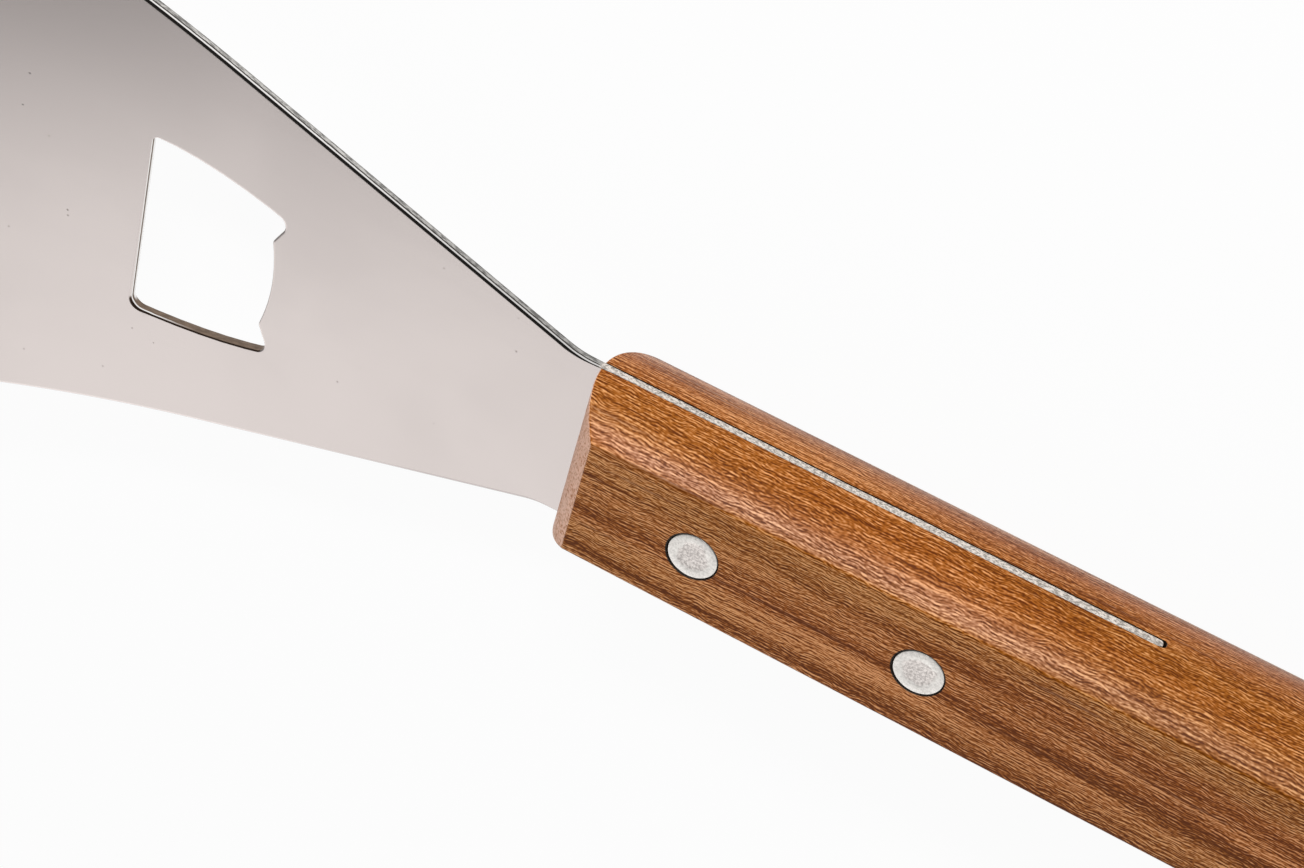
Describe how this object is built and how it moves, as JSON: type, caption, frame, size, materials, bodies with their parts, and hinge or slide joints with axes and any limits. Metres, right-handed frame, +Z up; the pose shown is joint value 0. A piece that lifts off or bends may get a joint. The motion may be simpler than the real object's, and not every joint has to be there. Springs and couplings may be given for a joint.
{
  "type": "barbecue spatula",
  "caption": "Barbecue spatula with a flared and bent steel blade, a bottle-opener cut-out in its neck, and a slotted wooden handle riveted over the tang.",
  "frame": {"origin": "centre of the bounding box at its base, level with the underside of the handle", "axes": "+X along the handle towards its end, with the blade's front edge towards -X; +Y across; +Z up out of the face that carries food"},
  "size_m": [0.405, 0.104, 0.0473],
  "materials": {
    "blade": "satin rolled stainless sheet with sheared edges",
    "handle": "reddish-brown hardwood, sanded and lightly oiled",
    "rivets": "matte, ground flush"
  },
  "bodies": {
    "root": {"blade": "blade", "handle": "handle", "rivet_front": "rivets", "rivet_rear": "rivets"}
  },
  "joints": []
}
